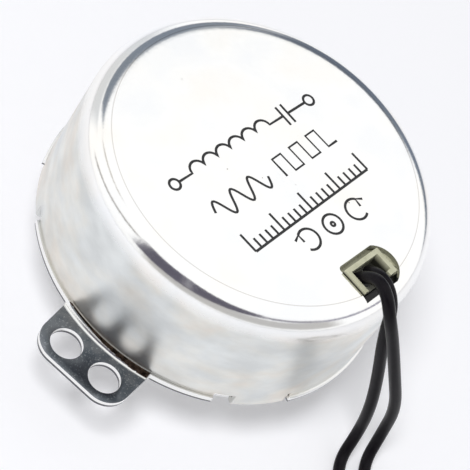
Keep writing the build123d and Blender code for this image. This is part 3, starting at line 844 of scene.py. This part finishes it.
def turning_arrows():
    """One arrow for each direction of rotation, on either side of a shaft end."""
    strokes = [arc(7.1, 0, 1.5, 0, 360), arc(7.1, 0, 0.3, 0, 360)]
    for x, turn in ((2.3, 1), (11.9, -1)):
        middle = 90 - 90 * turn
        end = arc(x, 0, 1.6, middle, middle + 130 * turn)[-1]
        strokes.append(arc(x, 0, 1.6, middle + 130 * turn, middle - 130 * turn))
        strokes.append([(end[0] - 1.0 * turn, end[1] - 0.5), end, (end[0] + 0.1 * turn, end[1] - 1.2)])
    return strokes


class MOTOR_OT_inner_parts(bpy.types.Operator):
    """Gives every part inside the can the material of its slot"""

    bl_idname = "motor.inner_parts"
    bl_label = "Inner Parts"

    def execute(self, context):
        for part in frame["record"]["subparts"]:
            node = frame["nodes"][part["node"]]
            if node.hide_render:
                continue
            node.data.materials.clear()
            node.data.materials.append(MATERIALS[part["material_slot"]])
        return {"FINISHED"}


class MOTOR_OT_leads(bpy.types.Operator):
    """Lays both leads from the bobbin box down to the table and into their coil"""

    bl_idname = "motor.leads"
    bl_label = "Leads"

    def execute(self, context):
        settings = context.scene.motor_leads
        for name, route, turns, height in (
            ("lead_a", LEAD_A, COIL_TURNS[0], COIL_HEIGHTS[0]),
            ("lead_b", LEAD_B, COIL_TURNS[1], COIL_HEIGHTS[1]),
        ):
            points = [Vector(p) * MM for p in route + coil_points(turns, height)]
            curve = round_curve(name + "_insulated", settings.diameter / 2, 6)
            smooth_line(curve, points).resolution_u = 8
            piece = new_object(name + "_insulated", curve)
            # The metal doesn't mirror the leads, so that its wall and rim stay clear
            piece.visible_glossy = False
            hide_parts(name, name + "_coil")
            dress(piece, "casing", MATERIALS["lead_pvc"])
            end = self.strip_end(name + "_stripped_end", points)
            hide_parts("lead_ends")
            on_it = [end] if name == "lead_b" else [end, self.tie_coil()]
        return {"FINISHED"}

    def strip_end(self, name, points):
        """Twisted strands, six round one, that go on from the end of a lead's insulation."""
        ahead = (points[-1] - points[-2]).normalized()
        side = ahead.cross(UP).normalized()
        curve = round_curve(name, STRAND_R * MM, 3)
        for strand in range(STRANDS):
            offset = 2 * STRAND_R * MM if strand else 0.0
            line = []
            for k in range(STRAND_STEPS + 1):
                turn = radians(60 * strand + STRAND_TWIST_DEG * k / STRAND_STEPS)
                away = (side * cos(turn) + UP * sin(turn)) * offset
                reach = STRIPPED * MM * k / STRAND_STEPS - STRIP_OVERLAP * MM
                line.append(points[-1] + ahead * reach + away)
            smooth_line(curve, line)
        activate(new_object(name, curve))
        bpy.ops.object.convert(target="MESH")
        piece = settle(bpy.context.object, name)
        dress(piece, "casing", MATERIALS["tinned_wire"])
        return piece

    def tie_coil(self):
        """A thin nylon band with its head on top, round both layers of the coil."""
        middle_r, half_r = sum(TIE_SPAN_R) / 2, (TIE_SPAN_R[1] - TIE_SPAN_R[0]) / 2
        middle_z, half_z = sum(TIE_SPAN_Z) / 2, (TIE_SPAN_Z[1] - TIE_SPAN_Z[0]) / 2
        out = polar(1, TIE_ANGLE)
        across = polar(1, TIE_ANGLE + 90)
        centre = Vector((*COIL_CENTRE, 0)) + out * middle_r + UP * middle_z
        bpy.ops.mesh.primitive_circle_add(vertices=TIE_POINTS, radius=1, fill_type="NOTHING")
        piece = bpy.context.object
        for k, vertex in enumerate(piece.data.vertices):
            turn = 2 * pi * k / TIE_POINTS
            x = half_r * max(-1, min(1, TIE_SQUARENESS * cos(turn)))
            z = half_z * max(-1, min(1, TIE_SQUARENESS * sin(turn)))
            vertex.co = (centre + out * x + UP * z - across * TIE_WIDTH / 2) * MM
        edit(piece, "EDGE")
        bpy.ops.mesh.select_all(action="SELECT")
        bpy.ops.mesh.extrude_region_move(TRANSFORM_OT_translate={"value": across * TIE_WIDTH * MM})
        bpy.ops.mesh.select_all(action="SELECT")
        bpy.ops.mesh.normals_make_consistent(inside=False)
        bpy.ops.object.mode_set(mode="OBJECT")
        modify(piece, "SOLIDIFY", thickness=TIE_THICK * MM, offset=1.0)
        bpy.ops.mesh.primitive_cube_add(size=1)
        head = bpy.context.object
        top = centre + UP * (half_z + TIE_THICK + TIE_HEAD_RISE)
        long, wide, thick = TIE_HEAD
        for vertex in head.data.vertices:
            x, y, z = vertex.co
            vertex.co = (top + out * long * x + across * wide * y + UP * thick * z) * MM
        modify(head, "BEVEL", width=TIE_HEAD_EDGE * MM, segments=2)
        deselect()
        head.select_set(True)
        piece.select_set(True)
        bpy.context.view_layer.objects.active = piece
        bpy.ops.object.join()
        settle(piece, "coil_tie")
        dress(piece, "casing", MATERIALS["nylon"])
        return piece


def coil_points(turns, height):
    """The turns of a lead's coil, as points that wind inwards."""
    x, y = COIL_CENTRE
    points = []
    for k in range(1, round(turns * COIL_STEPS) + 1):
        turned = polar(COIL_R - COIL_PITCH * k / COIL_STEPS, COIL_START_DEG + 360 * k / COIL_STEPS)
        points.append((x + turned.x, y + turned.y, height))
    return points


class MOTOR_OT_camera(bpy.types.Operator):
    """Sets the camera"""

    bl_idname = "motor.camera"
    bl_label = "Camera"

    def execute(self, context):
        data = bpy.data.cameras.new("camera")
        data.lens = CAMERA_LENS
        data.sensor_width = CAMERA_SENSOR
        data.clip_start = 0.01
        camera = new_object("camera", data)
        camera.location = CAMERA_AT
        camera.rotation_mode = "QUATERNION"
        look = (CAMERA_AIM - CAMERA_AT).to_track_quat("-Z", "Y")
        camera.rotation_quaternion = look @ Quaternion((0, 0, 1), radians(CAMERA_ROLL))
        context.scene.camera = camera
        return {"FINISHED"}


class MOTOR_OT_stage(bpy.types.Operator):
    """Sets the table, the studio's soft light and what the metal mirrors of the room"""

    bl_idname = "motor.stage"
    bl_label = "Stage"

    def execute(self, context):
        settings = context.scene.motor_stage
        context.scene.view_settings.view_transform = "Standard"
        deselect()
        bpy.ops.mesh.primitive_plane_add(size=TABLE_SIZE, location=(0, 0, FLOOR))
        floor = bpy.context.object
        floor.name = "table"
        floor.data.materials.append(self.table_material(settings))
        data = bpy.data.lights.new("softbox", "AREA")
        data.shape = "DISK"
        data.size = LAMP_SIZE
        data.energy = settings.lamp_power
        lamp = new_object("softbox", data)
        lamp.location = Vector(LAMP_AT)
        lamp.rotation_mode = "QUATERNION"
        lamp.rotation_quaternion = (-lamp.location).to_track_quat("-Z", "Y")
        lamp.visible_glossy = False
        self.room(context)
        return {"FINISHED"}

    def table_material(self, settings):
        """Pale board: a diffuse surface that shows as white where nothing shades it."""
        material = bpy.data.materials.new("pale_board")
        material.use_nodes = True
        tree = material.node_tree
        tree.nodes.clear()
        glossy, seen = self.ray_kinds(tree)
        mirrored = add(tree, "Math", {0: glossy, 1: TABLE_MIRRORED}, operation="MULTIPLY")
        glow = {0: seen, 1: TABLE_SEEN, 2: mirrored.outputs[0]}
        glow = add(tree, "Math", glow, operation="MULTIPLY_ADD")
        board = add(tree, "BsdfDiffuse", {"Color": settings.table_colour})
        light = add(tree, "Emission", {"Color": (1, 1, 1, 1), "Strength": glow.outputs[0]})
        both = add(tree, "AddShader", {0: board.outputs[0], 1: light.outputs[0]})
        add(tree, "OutputMaterial", {"Surface": both.outputs[0]})
        return material

    def ray_kinds(self, tree):
        """Whether a ray is glossy, and whether the camera sees it straight or through glass."""
        path = add(tree, "LightPath")
        kinds = {0: path.outputs["Is Camera Ray"], 1: path.outputs["Is Transmission Ray"]}
        direct = add(tree, "Math", kinds, operation="MAXIMUM")
        return path.outputs["Is Glossy Ray"], direct.outputs[0]

    def room(self, context):
        """White to the camera; the metal mirrors a bright room with grey patches round it."""
        world = bpy.data.worlds.new("studio")
        context.scene.world = world
        world.use_nodes = True
        tree = world.node_tree
        tree.nodes.clear()
        glossy, direct = self.ray_kinds(tree)
        toward = add(tree, "SeparateXYZ", {0: add(tree, "TexCoord").outputs["Generated"]})
        x, y, z = toward.outputs
        around = add(tree, "Math", {0: y, 1: x}, operation="ARCTAN2")
        above = add(tree, "Math", {0: z}, operation="ARCSINE")
        colour = "#FFFFFF"
        for centre, half, start, end, edge, shade in ROOM_PATCHES:
            offset = {0: around.outputs[0], 1: radians(centre)}
            offset = add(tree, "Math", offset, operation="SUBTRACT")
            offset = add(tree, "Math", {0: offset.outputs[0], 1: pi, 2: -pi}, operation="WRAP")
            apart = add(tree, "Math", {0: offset.outputs[0]}, operation="ABSOLUTE")
            inside = {"From Min": radians(half + edge), "From Max": radians(half - edge)}
            share = add(
                tree,
                "MapRange",
                {"Value": apart.outputs[0], **inside},
                interpolation_type="SMOOTHSTEP",
            )
            for side, sign in ((0, 1), (1, -1)):
                limit = add(
                    tree,
                    "MapRange",
                    {
                        "Value": offset.outputs[0],
                        "From Min": radians(-half),
                        "From Max": radians(half),
                        "To Min": radians(start[side]),
                        "To Max": radians(end[side]),
                    },
                )
                past = {0: above.outputs[0], 1: limit.outputs[0]}
                past = add(tree, "Math", past, operation="SUBTRACT")
                reach = sign * radians(min(edge, PATCH_EDGE_MOST) / 2)
                fade = add(
                    tree,
                    "MapRange",
                    {"Value": past.outputs[0], "From Min": -reach, "From Max": reach},
                    interpolation_type="SMOOTHSTEP",
                )
                share = {0: share.outputs[0], 1: fade.outputs[0]}
                share = add(tree, "Math", share, operation="MULTIPLY")
            mix = {"Factor": share.outputs[0], MIX_A: colour, MIX_B: shade}
            colour = add(tree, "Mix", mix, data_type="RGBA").outputs[MIXED]
        mirrored = add(tree, "Background", {"Color": colour, "Strength": ROOM_MIRRORED})
        seen = add(tree, "Background", {"Color": (1, 1, 1, 1), "Strength": 1.0})
        lighting = {"Color": (0.98, 0.99, 1, 1), "Strength": ROOM_LIGHTING}
        lighting = add(tree, "Background", lighting)
        shown = add(
            tree, "MixShader", {0: glossy, 1: lighting.outputs[0], 2: mirrored.outputs[0]}
        )
        shown = add(tree, "MixShader", {0: direct, 1: shown.outputs[0], 2: seen.outputs[0]})
        add(tree, "OutputWorld", {"Surface": shown.outputs[0]})


# What the metal mirrors: patches of the room, each as its middle and half width round the Z axis, its
# lowest and highest elevation at either end and its soft edge, all in degrees, and its colour
ROOM_PATCHES = (
    (40, 56, (2, 26), (6, 30), 5, "#BDBBB9"),
    (-118, 24, (-22, 18), (-22, 30), 6, "#D4D6D8"),
    (-6, 18, (14, 54), (21, 57), 4, "#5C5965"),
    (36, 24, (21, 57), (33, 43), 4, "#5C5965"),
    (76, 16, (33, 40), (29, 36), 4, "#8A8790"),
    (110, 18, (28, 34), (18, 24), 3, "#8A8798"),
    (-52, 23, (15, 20), (40, 46), 3, "#938E8A"),
    (-86, 12, (44, 49), (59, 63), 3, "#A79F94"),
    (-174, 10, (-12, 30), (8, 44), 3, "#616977"),
    (-136, 28, (12, 44), (30, 44), 4, "#7B838E"),
    (164, 17, (-34, 0), (-16, 28), 4, "#6F7886"),
)


class CanSettings(bpy.types.PropertyGroup):
    """Sizes of the can"""

    wall: bpy.props.FloatProperty(
        name="Wall", description="Thickness of the drawn steel", default=CAN_WALL, unit="LENGTH"
    )
    rim_radius: bpy.props.FloatProperty(
        name="Rim radius", description="Outer radius of the rim", default=3.6 * MM, unit="LENGTH"
    )


class PrintSettings(bpy.types.PropertyGroup):
    """Sizes of the print"""

    line_width: bpy.props.FloatProperty(
        name="Line width", description="Width of a printed line", default=0.38 * MM, unit="LENGTH"
    )


class LeadSettings(bpy.types.PropertyGroup):
    """Sizes of the leads"""

    diameter: bpy.props.FloatProperty(
        name="Diameter", description="Diameter over the insulation", default=1.7 * MM, unit="LENGTH"
    )
    length: bpy.props.FloatProperty(
        name="Length", description="Length of each lead from its joint", default=0.15, unit="LENGTH"
    )


class StageSettings(bpy.types.PropertyGroup):
    """Light and table"""

    lamp_power: bpy.props.FloatProperty(
        name="Lamp power", description="Power of the softbox in watts", default=6.8
    )
    table_colour: bpy.props.FloatVectorProperty(
        name="Table", description="Colour of the table", default=linear("#E6E6EA"), size=4, subtype="COLOR"
    )


class MOTOR_PT_panel(bpy.types.Panel):
    """Lists the motor's pieces in the sidebar"""

    bl_idname = "MOTOR_PT_panel"
    bl_label = "Geared Motor"
    bl_space_type = "VIEW_3D"
    bl_region_type = "UI"
    bl_category = "Motor"

    def draw(self, context):
        for operator in OPERATORS:
            self.layout.operator(operator.bl_idname)


OPERATORS = (
    MOTOR_OT_finishes,
    MOTOR_OT_camera,
    MOTOR_OT_leads,
    MOTOR_OT_can,
    MOTOR_OT_turned_and_stamped,
    MOTOR_OT_print,
    MOTOR_OT_inner_parts,
    MOTOR_OT_stage,
)
SETTINGS = {
    "motor_can": CanSettings,
    "motor_leads": LeadSettings,
    "motor_print": PrintSettings,
    "motor_stage": StageSettings,
}


def register():
    for group in (*SETTINGS.values(), *OPERATORS, MOTOR_PT_panel):
        bpy.utils.register_class(group)
    for name, group in SETTINGS.items():
        setattr(bpy.types.Scene, name, bpy.props.PointerProperty(type=group))


def unregister():
    for name in SETTINGS:
        delattr(bpy.types.Scene, name)
    for group in reversed((*SETTINGS.values(), *OPERATORS, MOTOR_PT_panel)):
        bpy.utils.unregister_class(group)


def main():
    register()
    for operator in OPERATORS:
        group, name = operator.bl_idname.split(".")
        getattr(getattr(bpy.ops, group), name)()
    deselect()


if __name__ == "__main__":
    main()
